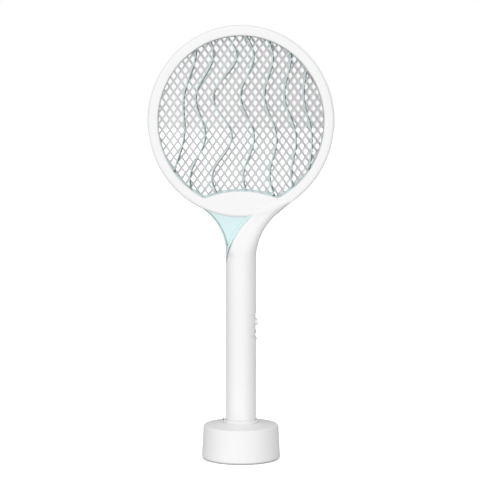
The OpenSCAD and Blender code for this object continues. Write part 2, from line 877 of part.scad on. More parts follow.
// Leads from the charging pads past the cell to the main board
module charge_leads() {
    z0 = seat_z + 5.3;
    z1 = main_z0 - 0.8;
    r = bore_r - 2.4;
    color("crimson") for (i = [0, 1]) {
        pad = [(2 * i - 1) * contact_x, 0, z0];
        side = [r * cos(charge_lead_angles[i]), r * sin(charge_lead_angles[i]), z0 + 5.5];
        lead([pad, (pad + side) / 2 - [0, 0, 0.8], side, [side[0], side[1], z1]], 0.6);
    }
}

// ---------- Screws ----------

module frame_screws() {
    color("gray") at_frame_screws() translate([0, half_t - screw_gap, 0])
        rotate([90, 0, 0]) screw(half_t + 6);
}

module handle_screws() {
    color("gray") for (z = handle_boss_z)
        translate([0, grip_r - 0.6 - screw_gap, z]) rotate([90, 0, 0]) screw(grip_r + 8);
}

// ---------- Base ----------

// Height of the base's sloping top at a radius
function top_z(r) = crown_z - crown_rise * (r - collar_r) / (rim_r - collar_r);

// Height of the ledge's underside, where the base's inner wall ends
function wall_end_z() = top_z(seam_r) - 2 * top_t;

// Inner radius of the base's tapered wall at a height
function wall_in_r(z) = base_r - base_wall
    - (base_r - rim_r) * (z - foot_proud) / (wall_end_z() - foot_proud);

// Half section of the base's wall, with the ledge that carries its top
module base_section() {
    ledge_z = top_z(seam_r) - top_t;
    polygon(concat(
        [[wall_in_r(foot_proud), foot_proud], [base_r - foot_fillet, foot_proud]],
        arc(base_r - foot_fillet, foot_proud + foot_fillet, foot_fillet, -90, 0, 6),
        arc(rim_r - rim_fillet, base_h - rim_fillet, rim_fillet, 0, 80, 6),
        [[seam_r, top_z(seam_r)], [seam_r, ledge_z], [seam_r - ledge_w, ledge_z],
            [seam_r - ledge_w, wall_end_z()], [wall_in_r(wall_end_z()), wall_end_z()]]));
}

// Half section of the base's top, open where the socket comes through
module top_section() {
    outer_r = seam_r - fit_gap;
    inner_r = collar_r + fit_gap;
    polygon([[inner_r, crown_z], [outer_r, top_z(outer_r)], [outer_r, top_z(seam_r) - top_t + fit_gap],
        [seam_r - ledge_w, top_z(seam_r) - top_t + fit_gap], [inner_r, crown_z - base_wall]]);
}

// Half section of the socket: its lip, its floor and the flange under the base's top
module socket_section() {
    flange_z = top_z(collar_r + socket_flange) - base_wall - fit_gap;
    polygon(concat(
        arc(collar_r - collar_fillet, collar_z - collar_fillet, collar_fillet, 0, 90, 4),
        arc(socket_r + collar_fillet, collar_z - collar_fillet, collar_fillet, 90, 180, 4),
        [[socket_r, seat_z], [0, seat_z], [0, floor_z], [collar_r, floor_z],
            [collar_r, flange_z - socket_flange_t], [collar_r + socket_flange, flange_z - socket_flange_t],
            [collar_r + socket_flange, flange_z], [collar_r, flange_z]]));
}

// Places its children at each screw of the base
module at_base_screws() {
    for (a = boss_angles)
        translate([boss_ring_r * cos(a), boss_ring_r * sin(a), 0]) children();
}

module at_base_light() {
    translate([light_ring_r * cos(light_angle), light_ring_r * sin(light_angle), 0]) children();
}

usb_z = board_top + 1.6;

module usb_plan(grow) {
    slot_plan(9 + 2 * grow, 3.2 + 2 * grow);
}

module base_shell() {
    color("white") difference() {
        rotate_extrude($fn = 96) base_section();
        translate([0, 0, usb_z]) deep(base_r / 2, base_r + 5) usb_plan(slide_gap);
    }
}

// Sloping top with the three posts that the base's screws go into
module base_top() {
    color("white") difference() {
        union() {
            rotate_extrude($fn = 96) top_section();
            at_base_screws() translate([0, 0, plate_top + fit_gap])
                cylinder(r = boss_r, h = base_h - plate_top - base_wall + 1);
            at_base_screws() translate([0, 0, ballast_z + ballast_h + fit_gap])
                cylinder(r = boss_r + 1.5, h = 8);
        }
        at_base_screws() cylinder(r = pilot_r, h = plate_top + 16);
        at_base_light() cylinder(r = light_r + fit_gap, h = 2 * base_h);
    }
}

// Cup that the swatter stands in, with holes for the charging pins
module dock_socket() {
    color("white") difference() {
        rotate_extrude($fn = 96) socket_section();
        for (s = [-1, 1]) translate([s * contact_x, 0, 0]) cylinder(r = pin_r + slide_gap, h = seat_z + 1);
    }
}

// Bottom cover with posts under the ballast
module base_plate() {
    color("whitesmoke") difference() {
        union() {
            translate([0, 0, plate_z]) cylinder(r = plate_r, h = plate_t);
            for (a = post_angles)
                translate([(boss_ring_r + 3) * cos(a), (boss_ring_r + 3) * sin(a), plate_z])
                    cylinder(r = post_r, h = ballast_z - plate_z - fit_gap);
        }
        translate([0, 0, plate_z - 1]) difference() {
            cylinder(r = foot_out_r + fit_gap, h = 1 + foot_sink);
            cylinder(r = foot_in_r - fit_gap, h = 1 + foot_sink);
        }
        at_base_screws() translate([0, 0, plate_z]) screw_space(6);
    }
}

module foot_ring() {
    color("gray") difference() {
        cylinder(r = foot_out_r, h = plate_z + foot_sink - fit_gap);
        translate([0, 0, -1]) cylinder(r = foot_in_r, h = 5);
    }
}

// Steel ring that keeps the stand from tipping
module base_ballast() {
    color("slategray") translate([0, 0, ballast_z]) difference() {
        cylinder(r = wall_in_r(ballast_z + ballast_h) - ballast_gap, h = ballast_h);
        translate([0, 0, -1]) cylinder(r = collar_r + 1, h = ballast_h + 2);
        at_base_screws() translate([0, 0, -1]) cylinder(r = boss_r + 0.6, h = ballast_h + 2);
        at_base_light() translate([0, 0, -1]) cylinder(r = light_r + 0.8, h = ballast_h + 2);
    }
}

// Charging board with an arm to the inlet and one to the light
module base_board() {
    arm = wall_in_r(board_top) - board_gap;
    color("darkgreen") translate([0, 0, board_z]) difference() {
        union() {
            cylinder(r = boss_ring_r - boss_r - 1, h = board_t);
            translate([-6, 0, 0]) cube([12, arm, board_t]);
            at_base_light() cylinder(r = 3.8, h = board_t);
        }
        at_base_screws() translate([0, 0, -1]) cylinder(r = boss_r + 0.5, h = board_t + 2);
    }
}

// Charging inlet: a metal sleeve around a tongue
module usb_inlet() {
    y1 = wall_in_r(usb_z) + base_wall - inlet_sink;
    y0 = y1 - 7;
    color("silver") translate([0, 0, usb_z]) {
        difference() {
            deep(y0, y1) usb_plan(0);
            deep(y0 + 1, y1 + 1) usb_plan(-0.3);
        }
        deep(y0 + 0.5, y1 - 0.8) square([6.6, 0.7], center = true);
    }
}

// Block under the socket that holds the pin barrels
module pin_carrier() {
    color("dimgray") difference() {
        translate([-contact_x - 4, -4, board_top + fit_gap])
            cube([2 * contact_x + 8, 8, floor_z - board_top - 2 * fit_gap]);
        for (s = [-1, 1]) translate([s * contact_x, 0, 0]) cylinder(r = barrel_r + fit_gap / 2, h = seat_z);
    }
}

module pin_barrels() {
    color("gold") for (s = [-1, 1]) translate([s * contact_x, 0, board_top + fit_gap])
        difference() {
            cylinder(r = barrel_r, h = floor_z - board_top - 2 * fit_gap);
            translate([0, 0, 0.5]) cylinder(r = pin_r + 0.05, h = seat_z);
        }
}

// Spring-loaded pins that touch the pads, shown pressed down
module contact_pins() {
    color("gold") for (s = [-1, 1]) translate([s * contact_x, 0, board_top + fit_gap + pin_spring]) {
        cylinder(r = pin_r, h = seat_z - board_top - fit_gap - pin_tip - pin_spring);
        cylinder(r = pin_r - 0.4, h = seat_z - board_top - fit_gap - pin_spring);
    }
}

// Clear rod from the charging board to the base's top
module base_light_pipe() {
    color("honeydew") at_base_light() translate([0, 0, board_top + 1])
        cylinder(r = light_r, h = top_z(light_ring_r) + base_light_proud - board_top - 1);
}

module base_screws() {
    color("gray") at_base_screws() translate([0, 0, plate_z + screw_gap]) screw(12);
}

// ---------- Nodes ----------

base_shell();
base_top();
dock_socket();
base_plate();
foot_ring();
base_ballast();
base_board();
usb_inlet();
pin_carrier();
pin_barrels();
base_light_pipe();
base_screws();
contact_pins();
front_frame();
rear_frame();
front_guard_mesh();
front_rib_frame();
inner_mesh();
rear_rib_frame();
rear_guard_mesh();
neck_insert();
handle_front_shell();
handle_rear_shell();
handle_end_cap();
charge_pads();
battery_cell();
battery_cradle();
battery_contact();
battery_spring();
main_board();
transformer();
hv_capacitors();
bleed_resistor();
switch_board();
push_switch();
slide_switch();
switch_panel();
indicator_light();
mesh_leads();
battery_leads();
charge_leads();
frame_screws();
handle_screws();
trigger_button();
switch_plunger();
mode_slider();
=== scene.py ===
import json
import math

import bmesh
import bpy
import numpy as np
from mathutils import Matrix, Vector

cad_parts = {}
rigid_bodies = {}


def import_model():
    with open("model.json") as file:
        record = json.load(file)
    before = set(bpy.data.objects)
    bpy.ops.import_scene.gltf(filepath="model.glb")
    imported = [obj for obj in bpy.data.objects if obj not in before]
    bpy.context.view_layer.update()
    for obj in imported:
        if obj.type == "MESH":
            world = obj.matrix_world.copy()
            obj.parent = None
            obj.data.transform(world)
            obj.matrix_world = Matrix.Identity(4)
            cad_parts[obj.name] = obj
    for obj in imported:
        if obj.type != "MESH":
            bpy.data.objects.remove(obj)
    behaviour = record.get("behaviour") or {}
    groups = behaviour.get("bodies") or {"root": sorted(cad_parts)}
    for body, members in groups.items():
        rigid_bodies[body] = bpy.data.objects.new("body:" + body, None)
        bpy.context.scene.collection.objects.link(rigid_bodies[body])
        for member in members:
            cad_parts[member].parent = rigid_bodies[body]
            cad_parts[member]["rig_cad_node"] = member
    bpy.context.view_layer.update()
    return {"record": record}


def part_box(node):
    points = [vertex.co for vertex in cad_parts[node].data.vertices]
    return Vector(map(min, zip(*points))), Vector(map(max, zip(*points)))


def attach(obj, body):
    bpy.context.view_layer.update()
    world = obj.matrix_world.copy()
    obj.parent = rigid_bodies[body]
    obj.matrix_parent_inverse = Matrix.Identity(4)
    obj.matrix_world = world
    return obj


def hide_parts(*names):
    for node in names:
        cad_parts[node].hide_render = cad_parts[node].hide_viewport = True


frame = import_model()
MM = 0.001


def mm_box(node):
    """Lowest and highest corner of a CAD node, in millimetres."""
    low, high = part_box(node)
    return np.array(low) / MM, np.array(high) / MM


# ---------- Sizes in millimetres, from the CAD's boxes and its own stated values ----------

mesh_low, mesh_high = mm_box("front_guard_mesh")
frame_high = mm_box("front_frame")[1]
grip_low, grip_high = mm_box("handle_front_shell")
MESH_R = mesh_high[0]
HEAD_Z = (mesh_low[2] + mesh_high[2]) / 2
ASPECT = (mesh_high[2] - mesh_low[2]) / 2 / MESH_R
HEAD_R = frame_high[0]
HALF_T = 13.0
WINDOW_R = MESH_R - 3.6
EDGE_R = 4.0
GRIP_R = grip_high[0]
GRIP_Z = grip_low[2]
NECK_Z = grip_high[2]
NECK_LEN = HEAD_Z - HEAD_R * ASPECT - NECK_Z
WINDOW_LOW_Z = HEAD_Z - WINDOW_R * ASPECT
CHIN_R = 109.3
CHIN_Z = WINDOW_LOW_Z + 18.2 - CHIN_R
FLARE_R = 69.0
INSERT_R = 62.0
INSERT_UP = 8.0
SWEEP_R = 77.0
SWEEP_X = SWEEP_R - GRIP_R
SWEEP_Z = NECK_Z - 9.0
SEAM = 0.15
TONGUE = 1.0
PANEL_CORNER = 3.0
RIM_R = 43.9
RIM_Z = 39.3
COLLAR_R = 20.2
SOCKET_R = 18.0


# ---------- Mesh helpers ----------

def make_object(name, verts, faces, material, body, smooth_angle=None):
    """A mesh object from points in millimetres, riding on a body."""
    mesh = bpy.data.meshes.new(name)
    mesh.from_pydata([tuple(p) for p in np.asarray(verts, float) * MM], [], [tuple(f) for f in faces])
    mesh.validate()
    obj = bpy.data.objects.new(name, mesh)
    bpy.context.scene.collection.objects.link(obj)
    finish_object(obj, material, body, smooth_angle)
    return obj


def finish_object(obj, material, body, smooth_angle=None):
    mesh = obj.data
    mesh.materials.clear()
    for m in (material if isinstance(material, (list, tuple)) else [material]):
        mesh.materials.append(m)
    mesh.shade_smooth()
    if smooth_angle is not None:
        bm = bmesh.new()
        bm.from_mesh(mesh)
        for e in bm.edges:
            if len(e.link_faces) == 2:
                e.smooth = e.calc_face_angle(0.0) < math.radians(smooth_angle)
        bm.to_mesh(mesh)
        bm.free()
    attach(obj, body)


def surface_net(f, origin, step):
    """Points and four-sided faces of the surface where the field f is zero."""
    nx, ny, nz = f.shape
    total = np.zeros((nx - 1, ny - 1, nz - 1, 3))
    count = np.zeros((nx - 1, ny - 1, nz - 1))
    inside = f < 0
    crossings = []
    for axis in range(3):
        low = [slice(None)] * 3
        high = [slice(None)] * 3
        low[axis], high[axis] = slice(0, -1), slice(1, None)
        a, b = f[tuple(low)], f[tuple(high)]
        cross = inside[tuple(low)] != inside[tuple(high)]
        crossings.append((cross, inside[tuple(low)]))
        t = np.where(cross, a / np.where(cross, a - b, 1.0), 0.0)
        others = [k for k in range(3) if k != axis]
        for d0 in (0, 1):
            for d1 in (0, 1):
                cut = [slice(None)] * 3
                cut[others[0]] = slice(d0, f.shape[others[0]] - 1 + d0)
                cut[others[1]] = slice(d1, f.shape[others[1]] - 1 + d1)
                c = cross[tuple(cut)]
                total[..., axis] += np.where(c, t[tuple(cut)], 0.0)
                total[..., others[0]] += c * d0
                total[..., others[1]] += c * d1
                count += c
    used = count > 0
    index = -np.ones(used.shape, int)
    index[used] = np.arange(used.sum())
    cells = np.argwhere(used)
    points = cells + total[used] / count[used][:, None]
    faces = []
    for axis in range(3):
        cross, first_inside = crossings[axis]
        others = [k for k in range(3) if k != axis]
        e = np.argwhere(cross)
        keep = np.ones(len(e), bool)
        for k in others:
            keep &= (e[:, k] > 0) & (e[:, k] < f.shape[k] - 1)
        e = e[keep]
        flip = first_inside[tuple(e.T)]
        ring = []
        for d0, d1 in ((0, 0), (1, 0), (1, 1), (0, 1)):
            c = e.copy()
            c[:, others[0]] -= 1 - d0
            c[:, others[1]] -= 1 - d1
            ring.append(index[tuple(c.T)])
        quad = np.stack(ring, 1)
        if axis == 1:
            flip = ~flip
        quad[~flip] = quad[~flip][:, ::-1]
        faces.append(quad)
    return np.array(origin) + points * step, np.concatenate(faces)


def project(points, field, steps=3, most=0.6):
    """Points moved onto the field's zero surface."""
    h = 0.05
    for _ in range(steps):
        value = field(*points.T)
        grad = np.stack([(field(*(points + d).T) - field(*(points - d).T)) / (2 * h)
                         for d in np.eye(3) * h], 1)
        size = np.maximum((grad ** 2).sum(1), 1e-6)
        move = -value / size
        shift = grad * move[:, None]
        length = np.maximum(np.linalg.norm(shift, axis=1), 1e-9)
        points = points + shift * np.minimum(1, most / length)[:, None]
    return points


def smin(a, b, k):
    """Smaller of two fields, blended over a width k."""
    h = np.clip(0.5 + 0.5 * (b - a) / k, 0, 1)
    return b + (a - b) * h - k * h * (1 - h)


def smooth(low, high, v):
    """Eased step from 0 at low to 1 at high."""
    t = np.clip((v - low) / (high - low), 0, 1)
    return t * t * (3 - 2 * t)


def cut_planes(bm, near, planes):
    """Cuts only the faces that near() keeps, along each plane."""
    for point, normal in planes:
        faces = [f for f in bm.faces if near(f.calc_center_median())]
        geom = set(faces)
        for f in faces:
            geom.update(f.edges)
            geom.update(f.verts)
        bmesh.ops.bisect_plane(bm, geom=list(geom), plane_co=point, plane_no=normal, dist=1e-7)


def cut_out(bm, near, planes, depth):
    """Cuts the region inside the planes out of a skin and gives the hole a wall of that depth vector."""
    cut_planes(bm, near, planes)
    gone = [f for f in bm.faces if near(f.calc_center_median()) and all(
        (f.calc_center_median() - Vector(p)).dot(Vector(n)) < 0 for p, n in planes)]
    bmesh.ops.delete(bm, geom=gone, context="FACES")
    rim = [e for e in bm.edges if len(e.link_faces) == 1 and near((e.verts[0].co + e.verts[1].co) / 2)]
    add_lip(bm, rim, lambda v: Vector(depth))


def add_lip(bm, edges, shift):
    """Extrudes edges by shift(point) and returns the new free edges."""
    made = bmesh.ops.extrude_edge_only(bm, edges=edges)["geom"]
    for v in made:
        if isinstance(v, bmesh.types.BMVert):
            v.co += shift(v)
    return [e for e in made if isinstance(e, bmesh.types.BMEdge) and len(e.link_faces) == 1]


def lathe(profile, n=144):
    """Points and faces of a profile of (r, z) turned about the z axis."""
    verts, faces = [], []
    for i in range(n):
        a = 2 * math.pi * i / n
        verts += [(r * math.cos(a), r * math.sin(a), z) for r, z in profile]
    m = len(profile)
    for i in range(n):
        j = (i + 1) % n
        for k in range(m - 1):
            faces.append((i * m + k, j * m + k, j * m + k + 1, i * m + k + 1))
    return verts, faces


def arc(cx, cz, r, a0, a1, n):
    return [(cx + r * math.cos(math.radians(a0 + (a1 - a0) * i / n)),
             cz + r * math.sin(math.radians(a0 + (a1 - a0) * i / n))) for i in range(n + 1)]


# ---------- Materials ----------

def nodes_of(name):
    mat = bpy.data.materials.new(name)
    mat.use_nodes = True
    tree = mat.node_tree
    return mat, tree, tree.nodes["Principled BSDF"]


def add(tree, kind, **values):
    node = tree.nodes.new(kind)
    for key, value in values.items():
        if key in node.inputs:
            node.inputs[key].default_value = value
        else:
            setattr(node, key, value)
    return node


def moulded(name, colour, rough=0.35, grain=0.02, deep=None, coat=0.0, fine=900.0):
    """Moulded plastic: a faint drift of tone, a fine spark texture and slow waves in the surface."""
    mat, tree, bsdf = nodes_of(name)
    link = tree.links.new
    place = add(tree, "ShaderNodeTexCoord")
    slow = add(tree, "ShaderNodeTexNoise", Scale=38.0, Detail=3.0, Roughness=0.5)
    quick = add(tree, "ShaderNodeTexNoise", Scale=fine, Detail=2.0, Roughness=0.6)
    for n in (slow, quick):
        link(place.outputs["Object"], n.inputs["Vector"])
    tone = add(tree, "ShaderNodeMix", data_type="RGBA")
    tone.inputs["A"].default_value = (*colour, 1)
    low = deep or tuple(c * 0.965 for c in colour)
    tone.inputs["B"].default_value = (*low, 1)
    link(slow.outputs["Fac"], tone.inputs["Factor"])
    link(tone.outputs["Result"], bsdf.inputs["Base Color"])
    shine = add(tree, "ShaderNodeMapRange")
    shine.inputs["To Min"].default_value = rough - 0.05
    shine.inputs["To Max"].default_value = rough + 0.06
    link(slow.outputs["Fac"], shine.inputs["Value"])
    link(shine.outputs["Result"], bsdf.inputs["Roughness"])
    bump = add(tree, "ShaderNodeBump", Strength=grain * 4, Distance=0.00008)
    link(quick.outputs["Fac"], bump.inputs["Height"])
    link(bump.outputs["Normal"], bsdf.inputs["Normal"])
    bsdf.inputs["Coat Weight"].default_value = coat
    bsdf.inputs["Coat Roughness"].default_value = 0.12
    bsdf.inputs["IOR"].default_value = 1.5
    return mat


def drawn_metal(name, colour, rough=0.3, scale=(60, 60, 900)):
    """Drawn or turned metal: fine streaks in tone and roughness."""
    mat, tree, bsdf = nodes_of(name)
    link = tree.links.new
    place = add(tree, "ShaderNodeTexCoord")
    stretch = add(tree, "ShaderNodeMapping")
    stretch.inputs["Scale"].default_value = scale
    streak = add(tree, "ShaderNodeTexNoise", Scale=8.0, Detail=4.0, Roughness=0.6)
    link(place.outputs["Object"], stretch.inputs["Vector"])
    link(stretch.outputs["Vector"], streak.inputs["Vector"])
    tone = add(tree, "ShaderNodeMix", data_type="RGBA")
    tone.inputs["A"].default_value = (*colour, 1)
    tone.inputs["B"].default_value = (*[c * 0.82 for c in colour], 1)
    link(streak.outputs["Fac"], tone.inputs["Factor"])
    link(tone.outputs["Result"], bsdf.inputs["Base Color"])
    shine = add(tree, "ShaderNodeMapRange")
    shine.inputs["To Min"].default_value = rough - 0.08
    shine.inputs["To Max"].default_value = rough + 0.12
    link(streak.outputs["Fac"], shine.inputs["Value"])
    link(shine.outputs["Result"], bsdf.inputs["Roughness"])
    bump = add(tree, "ShaderNodeBump", Strength=0.15, Distance=0.00005)
    link(streak.outputs["Fac"], bump.inputs["Height"])
    link(bump.outputs["Normal"], bsdf.inputs["Normal"])
    bsdf.inputs["Metallic"].default_value = 1.0
    return mat


def smoked(name, colour, rough=0.12):
    """Tinted clear plastic with a slight haze."""
    mat = moulded(name, colour, rough, 0.005, coat=0.3)
    mat.node_tree.nodes["Principled BSDF"].inputs["Transmission Weight"].default_value = 0.25
    return mat


MAT = {
    "white_shell": moulded("white_shell_look", (0.80, 0.80, 0.80), 0.36, 0.02, coat=0.12),
    "mint_plastic": moulded("mint_plastic_look", (0.60, 0.76, 0.76), 0.38, 0.02, coat=0.1),
    "mesh_metal": drawn_metal("mesh_metal_look", (0.80, 0.80, 0.81), 0.36),
    "inner_metal": drawn_metal("inner_mesh_look", (0.93, 0.93, 0.93), 0.45),
    "foot_rubber": moulded("foot_rubber_look", (0.45, 0.46, 0.46), 0.72, 0.08, fine=500.0),
    "ballast_steel": drawn_metal("ballast_steel_look", (0.30, 0.31, 0.32), 0.55, (40, 40, 40)),
    "screw_steel": drawn_metal("screw_steel_look", (0.52, 0.52, 0.53), 0.32, (300, 300, 60)),
    "contact_brass": drawn_metal("contact_brass_look", (0.78, 0.58, 0.26), 0.25, (300, 300, 60)),
    "board_green": moulded("board_green_look", (0.02, 0.12, 0.05), 0.4, 0.06, fine=300.0),
    "dark_plastic": moulded("dark_plastic_look", (0.03, 0.03, 0.035), 0.48, 0.06, fine=600.0),
    "light_clear": smoked("light_clear_look", (0.02, 0.022, 0.022)),
    "light_frost": smoked("light_frost_look", (0.42, 0.44, 0.44), 0.3),
    "cell_wrap": moulded("cell_wrap_look", (0.05, 0.16, 0.40), 0.28, 0.01, coat=0.4),
    "coil_tape": moulded("coil_tape_look", (0.62, 0.40, 0.06), 0.45, 0.03),
    "capacitor_red": moulded("capacitor_red_look", (0.35, 0.04, 0.03), 0.3, 0.03, coat=0.3),
    "resistor_body": moulded("resistor_body_look", (0.55, 0.40, 0.22), 0.5, 0.03),
    "lead_red": moulded("lead_red_look", (0.42, 0.02, 0.02), 0.42, 0.02),
    "lead_black": moulded("lead_black_look", (0.015, 0.015, 0.016), 0.42, 0.02),
    # Darker mint for the faces of the insert's left step: painted shade where the step falls into shadow.
    "painted_step_shade": moulded("painted_step_shade_look", (0.16, 0.34, 0.34), 0.45, 0.03),
    # Near-black look for the strip along one side of each rib: painted shade on the side away from the
    # light.
    "painted_rib_shade": moulded("painted_rib_shade_look", (0.025, 0.05, 0.05), 0.5, 0.03),
}
LOOK_OF = {"inner_mesh": "inner_metal", "indicator_light": "light_frost"}
SLOT_OF = {s["node"]: s["material_slot"] for s in frame["record"]["subparts"]}


def dress_cad():
    """Gives each CAD node its slot's material."""
    for node, slot in SLOT_OF.items():
        obj = next(o for o in bpy.data.objects if o.get("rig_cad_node") == node)
        obj.data.materials.clear()
        obj.data.materials.append(MAT[LOOK_OF.get(node, slot)])


# ---------- Outer skin of the swatter ----------

def arc_out(r, up):
    return r - np.sqrt(r * r - np.clip(up, 0, r) ** 2)


FLARE_X = GRIP_R + FLARE_R
TOUCH_R = (HEAD_R + HEAD_R * ASPECT) / 2
TOUCH_SPAN = math.hypot(FLARE_X, HEAD_Z - NECK_Z)
TOUCH_ANGLE = (math.pi / 2 + math.atan(FLARE_X / (HEAD_Z - NECK_Z))
               - math.asin((FLARE_R + TOUCH_R) / TOUCH_SPAN))
TOUCH_LOW = (FLARE_X - FLARE_R * math.sin(TOUCH_ANGLE), FLARE_R * math.cos(TOUCH_ANGLE))
TOUCH_UP = HEAD_Z - NECK_Z - TOUCH_R * math.cos(TOUCH_ANGLE)


def right_side(z):
    """Half width of the tube's outer side, which flares and then runs straight to the head."""
    up = z - NECK_Z
    line = TOUCH_LOW[0] + (np.minimum(up, TOUCH_UP) - TOUCH_LOW[1]) / math.tan(TOUCH_ANGLE)
    return np.where(up < TOUCH_LOW[1], GRIP_R + arc_out(FLARE_R, np.minimum(up, TOUCH_LOW[1])), line)


def left_side(z):
    """Half width of the insert's concave side."""
    return GRIP_R + arc_out(INSERT_R, np.minimum(z - NECK_Z - INSERT_UP, 0.92 * INSERT_R))


def sweep_side(z):
    """Place of the tube's inner side, a round sweep to the right."""
    up = np.maximum(z - SWEEP_Z, 0)
    return SWEEP_X - np.sqrt(np.maximum(SWEEP_R ** 2 - up ** 2, 0.0))


def half_depth(z):
    t = smooth(NECK_Z, NECK_Z + NECK_LEN, z)
    return GRIP_R + (HALF_T - GRIP_R) * t


def oval(x, z):
    return np.hypot(x, (z - HEAD_Z) / ASPECT)


def head_field(x, y, z):
    r = oval(x, z)
    out, side = r - HEAD_R + EDGE_R, np.abs(y) - HALF_T + EDGE_R
    body = np.minimum(np.maximum(out, side), 0) + np.hypot(np.maximum(out, 0), np.maximum(side, 0)) - EDGE_R
    opening = -smin(WINDOW_R - r, np.hypot(x, z - CHIN_Z) - CHIN_R, 1.0)
    return -smin(-body, opening, 1.5)


def tube_field(x, y, z):
    left, right = sweep_side(z), right_side(z)
    centre, a = (left + right) / 2, np.maximum((right - left) / 2, 1.0)
    b = half_depth(z) - 0.4 * smooth(NECK_Z + 18, NECK_Z + NECK_LEN, z) * (1 - smooth(25, 50, x))
    square = smooth(NECK_Z + 2, NECK_Z + 24, z)
    n = np.where(x < centre, 2.0 + 4.5 * square, 2.0 + 0.6 * square)
    g = (np.abs((x - centre) / a) ** n + np.abs(y / b) ** n) ** (1 / n)
    body = (g - 1) * np.minimum(a, b)
    body = np.maximum(body, z - (NECK_Z + TOUCH_UP + 2))
    return np.maximum(body, WINDOW_R + 3 - oval(x, z))


def skin_field(x, y, z):
    soft = 0.8 + 2.2 * smooth(5, 30, x) * (1 - smooth(38, 60, x))
    return smin(head_field(x, y, z), tube_field(x, y, z), soft)


def swatter_skin():
    """Points and faces of the front half of the swatter's outer skin."""
    step = 1.1
    low = np.array([-HEAD_R - 2.3, -GRIP_R - 2.2, GRIP_Z - 3.3])
    high = np.array([HEAD_R + 2.3, 2.4, HEAD_Z + HEAD_R * ASPECT + 2.3])
    n = np.ceil((high - low) / step).astype(int) + 1
    axes = [low[k] + step * np.arange(n[k]) for k in range(3)]
    field = skin_field(axes[0][:, None, None], axes[1][None, :, None], axes[2][None, None, :])
    points, faces = surface_net(field, low, step)
    points = project(points, skin_field)
    return points, faces


def panel_region():
    low, high = mm_box("switch_panel")
    return low[1] - SEAM, high[1] + SEAM, low[2] - SEAM, high[2] + SEAM


def round_rect(y0, y1, z0, z1, r, n=4):
    """Planes around a rectangle in y and z with round corners."""
    planes = [((0, 0, z0), (0, 0, -1)), ((0, 0, z1), (0, 0, 1)),
              ((0, y0, 0), (0, -1, 0)), ((0, y1, 0), (0, 1, 0))]
    for cy, sy in ((y0 + r, -1), (y1 - r, 1)):
        for cz, sz in ((z0 + r, -1), (z1 - r, 1)):
            for i in range(1, n):
                a = math.pi / 2 * i / n
                c, q = sy * math.cos(a), sz * math.sin(a)
                planes.append(((0, cy + r * c, cz + r * q), (0, c, q)))
    return planes


def screw_wells():
    """Centre and radius of each screw head at the back: five on the head, two on the grip."""
    found = []
    for node in ("frame_screws", "handle_screws"):
        obj = next(o for o in bpy.data.objects if o.get("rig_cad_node") == node)
        co = np.array([v.co for v in obj.data.vertices]) / MM
        left = set(range(len(co)))
        while left:
            seed = co[next(iter(left))]
            near = [i for i in left if np.hypot(*(co[i] - seed)[[0, 2]]) < 9]
            left -= set(near)
            part = co[near]
            centre = (part.min(0) + part.max(0)) / 2
            found.append((centre[0], centre[2], (part[:, 0].max() - part[:, 0].min()) / 2))
    return found


def build_half(name, side, points, faces):
    """One half of the skin, cut at the seam and the grip's foot, with its openings and lips."""
    pts = points * [1, -side, 1]
    order = faces if side < 0 else faces[:, ::-1]
    mesh = bpy.data.meshes.new(name)
    mesh.from_pydata([tuple(p) for p in pts * MM], [], [tuple(int(i) for i in f) for f in order])
    bm = bmesh.new()
    bm.from_mesh(mesh)
    foot = (GRIP_Z + SEAM) * MM

    def everything():
        return list(bm.verts) + list(bm.edges) + list(bm.faces)
    bmesh.ops.bisect_plane(bm, geom=everything(), plane_co=(0, side * SEAM * MM, 0),
                           plane_no=(0, side, 0), clear_inner=True, dist=1e-8)
    bmesh.ops.bisect_plane(bm, geom=everything(), plane_co=(0, 0, foot), plane_no=(0, 0, 1),
                           clear_inner=True, dist=1e-8)
    y0, y1, z0, z1 = [v * MM for v in panel_region()]
    planes = round_rect(y0, y1, z0, z1, PANEL_CORNER * MM)
    cut_out(bm, lambda c: c.x > 0.005 and z0 - 0.004 < c.z < z1 + 0.004, planes, (-0.0018, 0, 0))
    low, high = mm_box("indicator_light")
    round_cut(bm, "x", (low[1] + high[1]) / 2, (low[2] + high[2]) / 2, (high[2] - low[2]) / 2 + 0.1,
              (-0.0015, 0, 0))
    if side > 0:
        for x, z, r in screw_wells():
            round_cut(bm, "y", x, z, r + 0.2, (0, -0.0022, 0))
    edge = [e for e in bm.edges if len(e.link_faces) == 1]
    seam = [e for e in edge if all(abs(v.co.y - side * SEAM * MM) < 2e-6 for v in e.verts)]
    inner_edge = add_lip(bm, seam, lambda v: seam_shift(v, side))
    if side < 0:
        add_lip(bm, inner_edge, lambda v: Vector((0, TONGUE * MM, 0)))
    foot_rim = [e for e in edge if all(abs(v.co.z - foot) < 2e-6 for v in e.verts)]
    add_lip(bm, foot_rim, lambda v: Vector((-v.co.x, -v.co.y, 0)).normalized() * 0.0018)
    for e in bm.edges:
        if len(e.link_faces) == 2:
            e.smooth = e.calc_face_angle(0.0) < math.radians(50)
    bm.normal_update()
    bm.to_mesh(mesh)
    bm.free()
    obj = bpy.data.objects.new(name, mesh)
    bpy.context.scene.collection.objects.link(obj)
    mesh.shade_smooth()
    return obj


def seam_shift(v, side):
    """Inward move of a point on the seam, so that the two halves meet in a fine groove."""
    p = np.array(v.co)[:, None] / MM
    h = 0.1
    gx = skin_field(p[0] + h, p[1], p[2]) - skin_field(p[0] - h, p[1], p[2])
    gz = skin_field(p[0], p[1], p[2] + h) - skin_field(p[0], p[1], p[2] - h)
    g = Vector((float(gx[0]), 0, float(gz[0])))
    return -g.normalized() * 0.0014 if g.length > 1e-9 else Vector((0, 0, 0))


